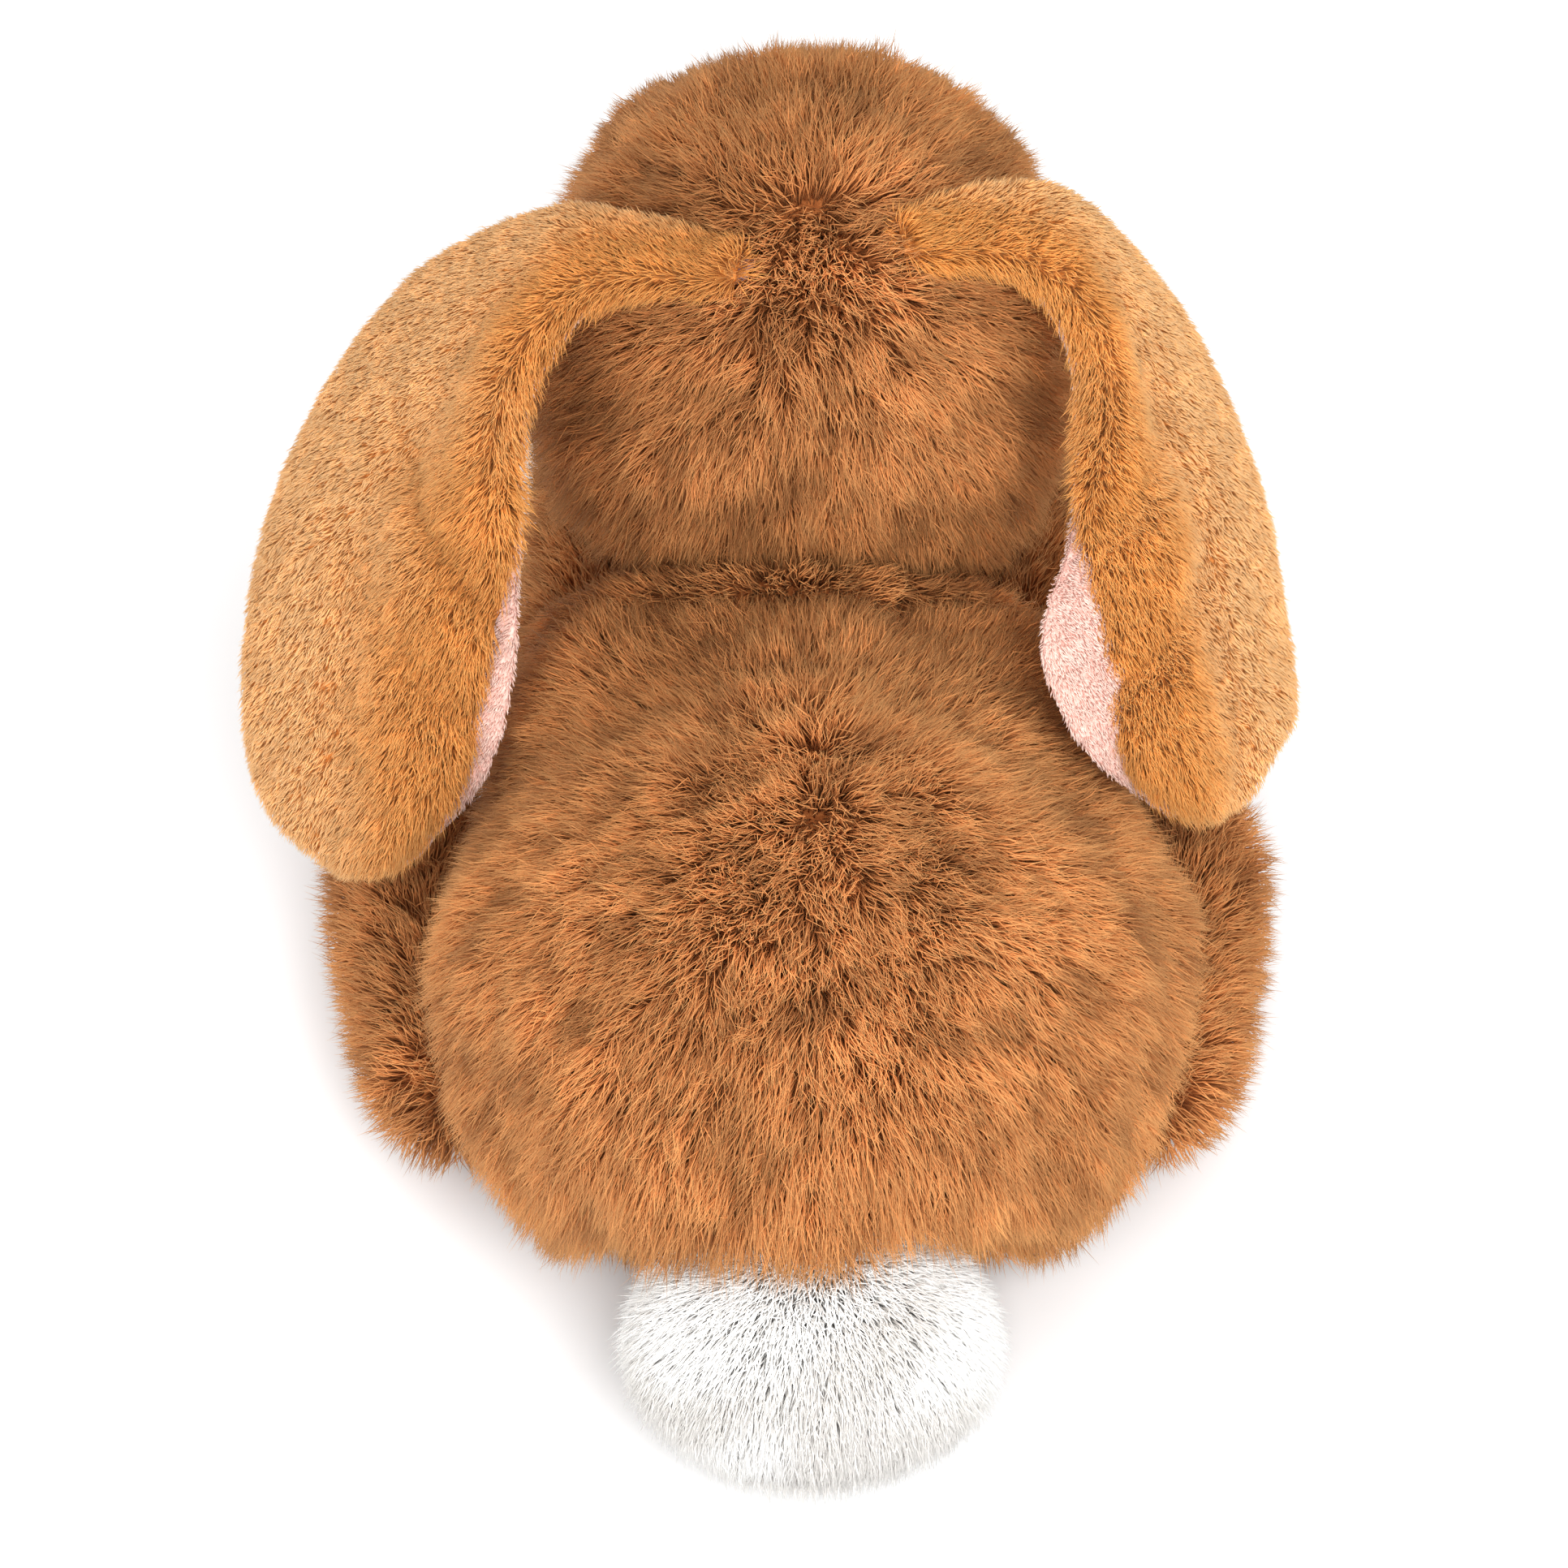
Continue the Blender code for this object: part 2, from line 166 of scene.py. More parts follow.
def lay_skin(name, nodes, core, stretch, inset, detail=5):
    """A closed skin inside a star-shaped CAD cover, found by rays cast in towards its core.

    The inset is a distance, or a function that gives one at each point.
    """
    core, tree = Vector(core), node_tree_of(nodes)
    made = ico_sphere(name, detail)
    rays = unit(points_of(made) * np.array(stretch))
    reach = np.array([radius_along(tree, core, Vector(ray)) for ray in rays])[:, None]
    edges = np.array([e.vertices[:] for e in made.data.edges])
    reach = smoothed(reach, edges, 3)
    set_points(made, np.array(core) + rays * reach)
    shape = points_of(made)
    depth = inset(shape)[:, None] if callable(inset) else inset
    shape -= normals_of(made) * depth
    shape[:, 2] = np.maximum(shape[:, 2], SKIN_CLEAR)
    set_points(made, smoothed(shape, edges, 2))
    shade_smooth(made.data)
    return made


SEAM_REACH = 1.3            # mm to the side of a ray that the cover is felt for
RAY_START = 0.4             # metres from the core, outside every cover
RAY_LENGTH = 0.5


def radius_along(tree, core, ray):
    """How far the cover reaches along a ray, feeling past the narrow gaps at its seams."""
    side = ray.orthogonal().normalized() * SEAM_REACH * MM
    other = ray.cross(side)
    best = 0.0
    for shift in (side, -side, other, -other):
        hit = tree.ray_cast(core + shift + ray * RAY_START, -ray, RAY_LENGTH)[0]
        if hit is not None:
            best = max(best, (hit - core).dot(ray))
    return best


def swell(obj, seams, cap, pressure=4.0, frames=16):
    """Cloth simulation: the skin fills out around its pinned seam, by no more than the cap.
    """
    before = points_of(obj)
    pins = obj.vertex_groups.new(name="seams")
    pins.add([int(k) for k in np.flatnonzero(seams)], 1.0, "REPLACE")
    cloth = obj.modifiers.new("Cloth", "CLOTH")
    cloth.settings.vertex_group_mass = "seams"
    cloth.settings.use_pressure = True
    cloth.settings.uniform_pressure_force = pressure
    cloth.settings.quality = 4
    cloth.settings.effector_weights.gravity = 0.0
    scene = bpy.context.scene
    for step in range(1, frames + 1):
        scene.frame_set(step)
    evaluated = obj.evaluated_get(bpy.context.evaluated_depsgraph_get())
    after = np.array([v.co[:] for v in evaluated.data.vertices])
    obj.modifiers.remove(cloth)
    obj.vertex_groups.remove(pins)
    scene.frame_set(1)
    move = after - before
    size = np.linalg.norm(move, axis=1, keepdims=True)
    points = before + move * np.minimum(1.0, cap / np.maximum(size, 1e-9))
    points[:, 2] = np.maximum(points[:, 2], SKIN_CLEAR)
    set_points(obj, points)


# ---------------------------------------------------------------- pile

def scatter(obj, per_mm2, rng):
    """Random places over a mesh, as (points, normals)."""
    mesh = obj.data
    mesh.calc_loop_triangles()
    tri = np.empty(len(mesh.loop_triangles) * 3, np.int32)
    mesh.loop_triangles.foreach_get("vertices", tri)
    tri = tri.reshape(-1, 3)
    points, normals = points_of(obj), normals_of(obj)
    a, b, c = (points[tri[:, k]] for k in range(3))
    area = 0.5 * np.linalg.norm(np.cross(b - a, c - a), axis=1)
    count = max(3, int(area.sum() / MM ** 2 * per_mm2 * THIN))
    pick = rng.choice(len(tri), count, p=area / area.sum())
    u, v = rng.random(count), rng.random(count)
    flip = u + v > 1
    u[flip], v[flip] = 1 - u[flip], 1 - v[flip]
    share = np.stack([1 - u - v, u, v], axis=1)[..., None]
    corner = tri[pick]
    return (points[corner] * share).sum(axis=1), unit((normals[corner] * share).sum(axis=1))


def nearest(points, centres):
    tree = KDTree(len(centres))
    for k, centre in enumerate(centres):
        tree.insert(centre, k)
    tree.balance()
    return np.array([tree.find(p)[1] for p in points])


def clumped(roots, tips, heading, length, count, pull, rng):
    """Tips drawn together into a given count of tufts, and the tuft that each is in."""
    chosen = rng.choice(len(roots), min(max(2, count), len(roots)), replace=False)
    group = nearest(roots, roots[chosen])
    lean = unit(heading[chosen] + rng.normal(0, 0.16, (len(chosen), 3)))
    target = roots[chosen] + lean * length[chosen, None] * rng.uniform(0.9, 1.1, (len(chosen), 1))
    amount = pull * rng.uniform(0.6, 1.15, (len(roots), 1))
    return tips + (target[group] - tips) * np.clip(amount, 0, 0.95), group


WAVES = 10


def patches(points, size, seed):
    """Smooth noise from 0 to 1 over space, as a sum of a few waves."""
    rng = np.random.default_rng(seed)
    total = np.zeros(len(points))
    for _ in range(WAVES):
        way = rng.normal(0, 1, 3)
        way *= rng.uniform(0.6, 1.6) * 2 * np.pi / size / np.linalg.norm(way)
        total += np.sin(points @ way + rng.uniform(0, 2 * np.pi))
    return 0.5 + 0.5 * np.clip(total / 4.0, -1, 1)


# One fibre: a triangle at its root, a narrower one halfway and a point at its tip
FIBRE_FACES = np.array([
    (0, 2, 1),
    (0, 1, 4), (0, 4, 3), (1, 2, 5), (1, 5, 4), (2, 0, 3), (2, 3, 5),
    (3, 4, 6), (4, 5, 6), (5, 3, 6),
])
FIBRE_UV = np.array([
    (0.15, 0.1), (0.5, 0.1), (0.85, 0.1),
    (0.2, 0.5), (0.5, 0.5), (0.8, 0.5),
    (0.5, 0.9),
])
FIBRE_ALONG = np.array([0.0, 0.0, 0.0, 0.5, 0.5, 0.5, 1.0])
FIBRE_POINTS = len(FIBRE_ALONG)
ROOT_RADIUS = 0.5           # as a share of the fibre's width
MIDDLE_RADIUS = 0.42
MOST_FIBRES = 19500         # in one piece, so that its triangles stay under 200,000


def fibres(name, roots, middles, tips, width, tone, patch):
    """Closed tapered fibres as one mesh, with colour values along them and a map of their own."""
    count = len(roots)
    way = unit(tips - roots)
    helper = np.where(np.abs(way[:, 2:]) < 0.9, (0.0, 0.0, 1.0), (1.0, 0.0, 0.0))
    side = unit(np.cross(way, helper))
    up = np.cross(way, side)
    points = np.empty((count, FIBRE_POINTS, 3))
    for k in range(3):
        turn = 2 * math.pi * k / 3
        ring = side * math.cos(turn) + up * math.sin(turn)
        points[:, k] = roots + ring * width[:, None] * ROOT_RADIUS
        points[:, 3 + k] = middles + ring * width[:, None] * MIDDLE_RADIUS
    points[:, 6] = tips
    points[..., 2] = np.maximum(points[..., 2], FLOOR_CLEAR)
    faces = FIBRE_FACES[None] + FIBRE_POINTS * np.arange(count)[:, None, None]
    made = new_mesh_object(name, points.reshape(-1, 3), faces.reshape(-1, 3))
    values = np.empty((count, FIBRE_POINTS, 4), np.float32)
    values[..., 0] = FIBRE_ALONG
    values[..., 1] = tone[:, None]
    values[..., 2] = patch[:, None]
    values[..., 3] = 1.0
    made.data.color_attributes.new("pile", "FLOAT_COLOR", "POINT")
    made.data.color_attributes["pile"].data.foreach_set("color", values.ravel())
    grid = math.ceil(math.sqrt(count))
    cell = np.stack([np.arange(count) % grid, np.arange(count) // grid], axis=1)
    uv = ((cell[:, None] + FIBRE_UV[None]) / grid).reshape(-1, 2)[faces.ravel()]
    layer = made.data.uv_layers.new(name="OFBake")
    layer.data.foreach_set("uv", uv.astype(np.float32).ravel())
    return made


UNDERSIDE = -0.25           # skin that faces down more than this is the underside
UNDERSIDE_KEPT = 0.4        # share of its fibres that are kept


def grow(name, skin, body, material, spec, seed):
    """Pile over a skin. spec gives density, length, width, tufts and functions of place.

    The body is a name, or a function that each piece is handed to in place of being attached to a
    body.
    """
    rng = np.random.default_rng(SEED + seed)
    roots, normals = scatter(skin, spec["density"], rng)
    keep = spec["where"](roots, normals)
    keep &= (normals[:, 2] > UNDERSIDE) | (rng.random(len(roots)) < UNDERSIDE_KEPT)
    roots, normals = roots[keep], normals[keep]
    lean = spec["lean"](roots, normals)
    heading = unit(normals + lean + rng.normal(0, spec["stray"], roots.shape))
    length = spec["length"](roots) * rng.uniform(0.8, 1.1, len(roots))
    tips = roots + heading * length[:, None]
    group = np.zeros(len(roots), int)
    shade = np.zeros(len(roots))
    for spacing, pull in spec["tufts"]:
        count = int(len(roots) / (spec["density"] * THIN * spacing ** 2))
        tips, group = clumped(roots, tips, heading, length, count, pull, rng)
        shade += rng.uniform(-0.5, 0.5, group.max() + 1)[group] / len(spec["tufts"])
    tips += spec["droop"] * length[:, None] * np.array([0.0, 0.0, -1.0])
    tips += rng.normal(0, 0.08, tips.shape) * length[:, None]
    middles = roots + (0.55 * heading + 0.45 * unit(tips - roots)) * (0.52 * length)[:, None]
    middles += rng.normal(0, 0.07, tips.shape) * length[:, None]
    width = spec["width"] * rng.uniform(0.7, 1.25, len(roots))
    tone = np.clip(0.5 + shade + rng.normal(0, 0.12, len(roots)), 0, 1)
    patch = spec["shade"](roots) if "shade" in spec else patches(roots, spec["patch"], seed)
    for part, start in enumerate(range(0, len(roots), MOST_FIBRES)):
        cut = slice(start, start + MOST_FIBRES)
        rows = (values[cut] for values in (roots, middles, tips, width, tone, patch))
        piece = fibres(f"{name}_{part}", *rows)
        piece.data.materials.append(material)
        if callable(body):
            body(piece)
        else:
            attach(piece, body)


# ---------------------------------------------------------------- materials

WHITE = (1.0, 1.0, 1.0, 1.0)


def blank(name):
    made = bpy.data.materials.new(name)
    made.use_nodes = True
    tree = made.node_tree
    return made, tree, tree.nodes["Principled BSDF"]


def ramp(tree, value, stops):
    node = tree.nodes.new("ShaderNodeValToRGB")
    node.color_ramp.interpolation = "EASE"
    while len(node.color_ramp.elements) < len(stops):
        node.color_ramp.elements.new(0.5)
    for element, (place, colour) in zip(node.color_ramp.elements, stops):
        element.position = place
        element.color = colour
    tree.links.new(value, node.inputs["Fac"])
    return node.outputs["Color"]


def mix(tree, kind, amount, a, b):
    node = tree.nodes.new("ShaderNodeMix")
    node.data_type = "RGBA"
    node.blend_type = kind
    for key, value in (("Factor", amount), ("A", a), ("B", b)):
        socket = node.inputs[key]
        if isinstance(value, bpy.types.NodeSocket):
            tree.links.new(value, socket)
        else:
            socket.default_value = value
    return node.outputs["Result"]


def texture(tree, kind, scale):
    """A procedural texture in the object's own metres."""
    place = tree.nodes.new("ShaderNodeTexCoord")
    made = tree.nodes.new(kind)
    made.inputs["Scale"].default_value = scale
    tree.links.new(place.outputs["Object"], made.inputs["Vector"])
    return made


def bumped(tree, shader, height, strength, distance):
    bump = tree.nodes.new("ShaderNodeBump")
    bump.inputs["Strength"].default_value = strength
    bump.inputs["Distance"].default_value = distance
    tree.links.new(height, bump.inputs["Height"])
    tree.links.new(bump.outputs["Normal"], shader.inputs["Normal"])


# How a pile's colour drifts over the body, and across an ear
PATCHY = ((0.2, (0.88, 0.84, 0.80, 1)), (0.8, (1.10, 1.08, 1.06, 1)))
ACROSS_EAR = ((0.15, (1.14, 1.36, 1.85, 1)), (0.85, (0.98, 0.80, 0.52, 1)))


def pile_material(name, root, middle, tip, dark, light, rough=0.75, sheen=0.25, drift=PATCHY):
    """Fibres dark at the root and pale at the tip, varied from tuft to tuft and patch to patch."""
    made, tree, shader = blank(name)
    values = tree.nodes.new("ShaderNodeAttribute")
    values.attribute_name = "pile"
    split = tree.nodes.new("ShaderNodeSeparateColor")
    tree.links.new(values.outputs["Color"], split.inputs["Color"])
    along, tone, patch = (split.outputs[k] for k in ("Red", "Green", "Blue"))
    colour = ramp(tree, along, ((0.0, root), (0.5, middle), (1.0, tip)))
    by_tuft = ramp(tree, tone, ((0.1, dark), (0.55, WHITE), (1.0, light)))
    colour = mix(tree, "MULTIPLY", 1.0, colour, by_tuft)
    colour = mix(tree, "MULTIPLY", 0.8, colour, ramp(tree, patch, drift))
    tree.links.new(colour, shader.inputs["Base Color"])
    shader.inputs["Roughness"].default_value = rough
    shader.inputs["Specular IOR Level"].default_value = 0.3
    shader.inputs["Sheen Weight"].default_value = sheen
    shader.inputs["Sheen Roughness"].default_value = 0.4
    shader.inputs["Sheen Tint"].default_value = tip
    return made


def backing_material(name, low, high, scale=900.0):
    """Knitted backing cloth between the fibres, or felt: small loops with a fine bump."""
    made, tree, shader = blank(name)
    noise = texture(tree, "ShaderNodeTexNoise", scale)
    noise.inputs["Detail"].default_value = 2.0
    colour = ramp(tree, noise.outputs["Fac"], ((0.3, low), (0.7, high)))
    tree.links.new(colour, shader.inputs["Base Color"])
    bumped(tree, shader, noise.outputs["Fac"], 0.4, 0.4 * MM)
    shader.inputs["Roughness"].default_value = 0.95
    shader.inputs["Specular IOR Level"].default_value = 0.15
    return made


def resin_material():
    """Polished dark resin, a little uneven in its gloss."""
    made, tree, shader = blank("eye_resin")
    noise = texture(tree, "ShaderNodeTexNoise", 260.0)
    tint = ramp(tree, noise.outputs["Fac"], ((0.35, srgb(14, 9, 7)), (0.7, srgb(34, 20, 14))))
    tree.links.new(tint, shader.inputs["Base Color"])
    smooth, worn = (0.10, 0.10, 0.10, 1), (0.20, 0.20, 0.20, 1)
    gloss = ramp(tree, noise.outputs["Fac"], ((0.3, smooth), (0.8, worn)))
    tree.links.new(gloss, shader.inputs["Roughness"])
    shader.inputs["Coat Weight"].default_value = 0.3
    shader.inputs["Specular IOR Level"].default_value = 0.3
    shader.inputs["Coat Roughness"].default_value = 0.05
    return made


def thread_material():
    """Twisted embroidery thread."""
    made, tree, shader = blank("mouth_thread")
    wave = texture(tree, "ShaderNodeTexWave", 700.0)
    wave.bands_direction = "DIAGONAL"
    twist = ramp(tree, wave.outputs["Fac"], ((0.2, srgb(50, 26, 16)), (0.8, srgb(96, 56, 38))))
    tree.links.new(twist, shader.inputs["Base Color"])
    bumped(tree, shader, wave.outputs["Fac"], 0.5, 0.2 * MM)
    shader.inputs["Roughness"].default_value = 0.55
    return made


def make_materials():
    return {
        "body": pile_material(
            "body_pile", srgb(170, 102, 55), srgb(203, 134, 77), srgb(220, 160, 100),
            (0.54, 0.49, 0.45, 1), (1.24, 1.22, 1.20, 1)),
        "ear": pile_material(
            "ear_pile", srgb(196, 128, 66), srgb(224, 160, 92), srgb(234, 184, 122),
            (0.92, 0.90, 0.88, 1), (1.15, 1.12, 1.08, 1), rough=0.5, sheen=0.4, drift=ACROSS_EAR),
        "lining": pile_material(
            "lining_pile", srgb(226, 178, 164), srgb(242, 208, 196), srgb(250, 226, 216),
            (0.93, 0.91, 0.90, 1), (1.04, 1.04, 1.04, 1), rough=0.85, sheen=0.5),
        "tail": pile_material(
            "tail_pile", srgb(244, 244, 243), srgb(244, 244, 243), srgb(243, 243, 242),
            (0.97, 0.97, 0.975, 1), WHITE, sheen=0.3),
        "body_back": backing_material("body_backing", srgb(150, 84, 42), srgb(186, 112, 60)),
        "ear_back": backing_material("ear_backing", srgb(176, 100, 42), srgb(210, 136, 70)),
        "lining_back": backing_material("lining_backing", srgb(224, 174, 160), srgb(240, 200, 188)),
        "eye": resin_material(),
        "nose": backing_material("nose_felt", srgb(120, 66, 54), srgb(158, 92, 76), 1400.0),
        "thread": thread_material(),
        "tail_back": backing_material("tail_backing", srgb(242, 242, 241), srgb(246, 246, 245)),
    }


# ---------------------------------------------------------------- bodies

def down_slope(normals, amount):
    """Gravity, along the surface only."""
    pull = np.array([0.0, 0.0, -amount])
    return pull - normals * (normals @ pull)[:, None]


def parting(points, seam_x, strength, reach):
    """Fibres lean away from a seam that runs along the middle."""
    away = points[:, 0] - seam_x
    lean = np.zeros_like(points)
    lean[:, 0] = np.sign(away) * strength * np.exp(-np.abs(away) / reach)
    return lean


# Creases pressed into the skins: start, end, depth, and how far each reaches sideways
TORSO_FOLDS = (
    ((0.050, -0.014, 0.080), (0.018, -0.008, 0.098), 5 * MM, 5 * MM),
    ((0.002, -0.034, 0.092), (-0.038, -0.036, 0.080), 4 * MM, 5 * MM),
    ((-0.060, 0.030, 0.090), (-0.072, 0.062, 0.062), 3 * MM, 5 * MM),
)
HEAD_FOLDS = (
    ((0.032, -0.088, 0.136), (-0.032, -0.092, 0.136), 2.0 * MM, 4 * MM),
    ((0.005, -0.084, 0.144), (0.003, -0.050, 0.100), 1.0 * MM, 4 * MM),
)
WHORL = (0.0, 0.010, 0.112)         # where the pile of the back fans out from
CROWN = (0.004, -0.082, 0.145)      # and the pile of the head


def bridge(piece):
    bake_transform(piece)


def everywhere(points, normals):
    return np.ones(len(points), bool)


def long_pile(lean, length, density=2.5, width=0.33 * MM):
    return {
        "density": density, "length": length, "width": width, "lean": lean,
        "tufts": ((7.0, 0.18), (3.2, 0.42)), "stray": 0.20, "droop": 0.06,
        "patch": 30 * MM, "where": everywhere,
    }


def folded(points, normals, folds, lump, seed):
    """A stuffed skin with soft lumps, pressed in along its creases."""
    points = points + normals * ((patches(points, 26 * MM, seed) - 0.5) * lump)[:, None]
    for start, end, depth, reach in folds:
        start, end = np.array(start), np.array(end)
        share = np.clip((points - start) @ (end - start) / np.sum((end - start) ** 2), 0, 1)
        far = np.linalg.norm(points - start - share[:, None] * (end - start), axis=1)
        points = points - normals * (depth * np.exp(-(far / reach) ** 2))[:, None]
    return points


WHORL_REACH = 14 * MM


def fanned(points, normals, centre, amount):
    """Fibres lean away from a whorl, along the surface, and towards the tail at its centre."""
    away = points - np.array(centre)
    away -= normals * np.sum(away * normals, axis=1)[:, None]
    near = np.exp(-(np.linalg.norm(away, axis=1) / WHORL_REACH) ** 2)[:, None]
    calm = np.array([0.0, 0.9, 0.0]) - normals * 0.9 * normals[:, 1:2]
    return (unit(away) * (1 - near) + calm * near) * amount


def finish_skin(obj, body, material, nodes):
    obj.data.materials.clear()
    obj.data.materials.append(material)
    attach(obj, body)
    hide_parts(*nodes)


def torso(looks):
    nodes = ("torso_back_left", "torso_back_right", "torso_belly", "torso_stuffing")
    skin = lay_skin("torso_skin", nodes[:3], CORES["torso"], (0.9, 1.1, 0.75), 8.5 * MM)
    points, normals = points_of(skin), normals_of(skin)
    swell(skin, (np.abs(points[:, 0]) < 2.2 * MM) & (normals[:, 2] > 0), 1.5 * MM)
    set_points(skin, folded(points_of(skin), normals_of(skin), TORSO_FOLDS, 4.0 * MM, 5))

    def lean(p, n):
        fan = fanned(p, n, WHORL, 0.80)
        return fan + down_slope(n, 0.35) + parting(p, 0.0, 0.12, 5 * MM) * (n[:, 2:] > 0)

    def length(p):
        rump = 6.0 * MM * np.clip((p[:, 1] - 0.080) / (25 * MM), 0, 1)
        return (12.0 * MM + rump) * np.clip(0.45 + p[:, 2] / (30 * MM), 0.45, 1.0)

    finish_skin(skin, "torso", looks["body_back"], nodes)
    grow("torso_pile", skin, "torso", looks["body"], long_pile(lean, length), 1)


def clear_of_face(p, n):
    """No fibres over the eyes, the nose and the mouth."""
    keep = everywhere(p, n)
    on_face = p[:, 1] < -0.110
    for node, margin in (
        ("eye_left", 0.3), ("eye_right", 0.3), ("nose", 0.3), ("mouth_stitch", 0.5),
    ):
        low, high = (np.array(corner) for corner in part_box(node))
        wide = np.array([margin, 30.0, margin]) * MM
        keep &= ~(((p > low - wide) & (p < high + wide)).all(axis=1) & on_face)
    return keep


def muzzle_share(p):
    """1 at the nose and the mouth, less away from them."""
    mouth_high, nose_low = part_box("mouth_stitch")[1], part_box("nose")[0]
    spot = np.array([0.0, mouth_high[1], (mouth_high[2] + nose_low[2]) / 2])
    return np.exp(-np.sum((p - spot) ** 2, axis=1) / (16 * MM) ** 2)


def face_share(p):
    """From 0 at the back of the head to 1 on the face, where the pile is short."""
    ahead = np.clip((-0.122 - p[:, 1]) / (17 * MM), 0, 1)
    return ahead * np.clip((0.122 - p[:, 2]) / (18 * MM), 0, 1)


def face(looks):
    """Finished copies of the eyes, the nose and the mouth, in place of their CAD nodes."""
    for node, look, slot_name in (
        ("eye_left", "eye", "eye_black"), ("eye_right", "eye", "eye_black"),
        ("nose", "nose", "nose_felt"), ("mouth_stitch", "thread", "thread"),
    ):
        made = sheet_skin(f"{node}_finished", node)
        made.data.materials.append(looks[look])
        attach(made, "head")
        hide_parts(node)


def head(looks):
    covers = [
        "head_back_left", "head_back_right", "head_cheek_left", "head_cheek_right",
        "head_forehead", "head_chin",
    ]

    def inset(p):
        return 8.0 * MM - 7.0 * MM * face_share(p) - 3.5 * MM * muzzle_share(p)
    skin = lay_skin("head_skin", covers, CORES["head"], (1.0, 1.05, 0.95), inset)
    points, normals = points_of(skin), normals_of(skin)
    swell(skin, (np.abs(points[:, 0]) < 2.0 * MM) & (normals[:, 1] > 0), 1.2 * MM)
    set_points(skin, folded(points_of(skin), normals_of(skin), HEAD_FOLDS, 2.5 * MM, 6))

    def lean(p, n):
        fan = fanned(p, n, CROWN, 0.60)
        return fan + down_slope(n, 0.40) + parting(p, 0.004, 0.18, 5 * MM) * (n[:, 1:2] > 0)

    def length(p):
        flank = 5.0 * MM * np.clip((p[:, 0] - 0.030) / (15 * MM), 0, 1) * (p[:, 1] > -0.100)
        return (11.5 * MM + flank) * (1 - 0.74 * face_share(p))

    finish_skin(skin, "head", looks["body_back"], covers + ["head_stuffing"])
    spec = long_pile(lean, length)
    spec["where"] = clear_of_face
    grow("head_pile", skin, "head", looks["body"], spec, 2)


def neck(looks):
    """The soft collar of pile that fills the fold between the head and the shoulders."""
    centre, radii = np.array([0.004, -0.043, 0.057]), np.array([0.051, 0.012, 0.021])
    skin = ico_sphere("neck_skin", 4)
    set_points(skin, centre + points_of(skin) * radii)
    shade_smooth(skin.data)
    skin.data.materials.append(looks["body_back"])
    bridge(skin)

    def lean(p, n):
        return fanned(p, n, CROWN, 0.9) + down_slope(n, 0.3)

    def length(p):
        return np.full(len(p), 9.0 * MM)

    grow("neck_pile", skin, bridge, looks["body"], long_pile(lean, length), 3)


def leg(kind, side, looks, seed):
    prefix = f"{kind}_leg_{side}"
    nodes = [f"{prefix}_{piece}" for piece in ("upper", "sole", "stuffing")]
    low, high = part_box(nodes[0])
    core = (low + high) / 2
    skin = lay_skin(f"{prefix}_skin", nodes[:2], core, (0.5, 1.25, 0.5), 6.5 * MM, detail=4)

    def lean(p, n):
        ahead = np.zeros_like(p)
        ahead[:, 1] = -0.25
        return ahead + down_slope(n, 0.3)

    def length(p):
        return np.clip(4.5 * MM + (p[:, 2] - 4 * MM) * 0.35, 4.0 * MM, 10.5 * MM)

    finish_skin(skin, prefix, looks["body_back"], nodes)
    spec = long_pile(lean, length, 2.1)
    grow(f"{prefix}_pile", skin, prefix, looks["body"], spec, seed)


def tail(looks):
    nodes = ["tail_cover", "tail_stuffing"]
    skin = lay_skin("tail_skin", nodes, CORES["tail"], (1, 1, 1), 6.0 * MM, detail=4)

    def lean(p, n):
        return fanned(p, n, (0.0, 0.078, 0.060), 1.4)

    def length(p):
        return np.clip(4.0 * MM + p[:, 2] * 0.35, 4.0 * MM, 9.0 * MM)

    finish_skin(skin, "tail", looks["tail_back"], nodes)
    spec = long_pile(lean, length, 3.4, 0.50 * MM)
    spec["tufts"] = ((2.4, 0.10),)
    spec["stray"] = 0.10
    grow("tail_pile", skin, "tail", looks["tail"], spec, 9)


# ---------------------------------------------------------------- ears

def sheet_skin(name, node):
    """A smooth rounded copy of a CAD piece."""
    made = bpy.data.objects.new(name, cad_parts[node].data.copy())
    bpy.context.scene.collection.objects.link(made)
    bm = bmesh.new()
    bm.from_mesh(made.data)
    bmesh.ops.remove_doubles(bm, verts=bm.verts, dist=1e-5)
    bm.to_mesh(made.data)
    bm.free()
    divide = made.modifiers.new("Smooth", "SUBSURF")
    divide.levels = divide.render_levels = 2
    evaluated = made.evaluated_get(bpy.context.evaluated_depsgraph_get())
    mesh = bpy.data.meshes.new_from_object(evaluated)
    made.modifiers.clear()
    made.data = mesh
    mesh.materials.clear()
    shade_smooth(mesh)
    return made


# A place on an ear: its share of the way to the tip, from -1 to 1 across, and three directions
Spot = namedtuple("Spot", "share across way side out")


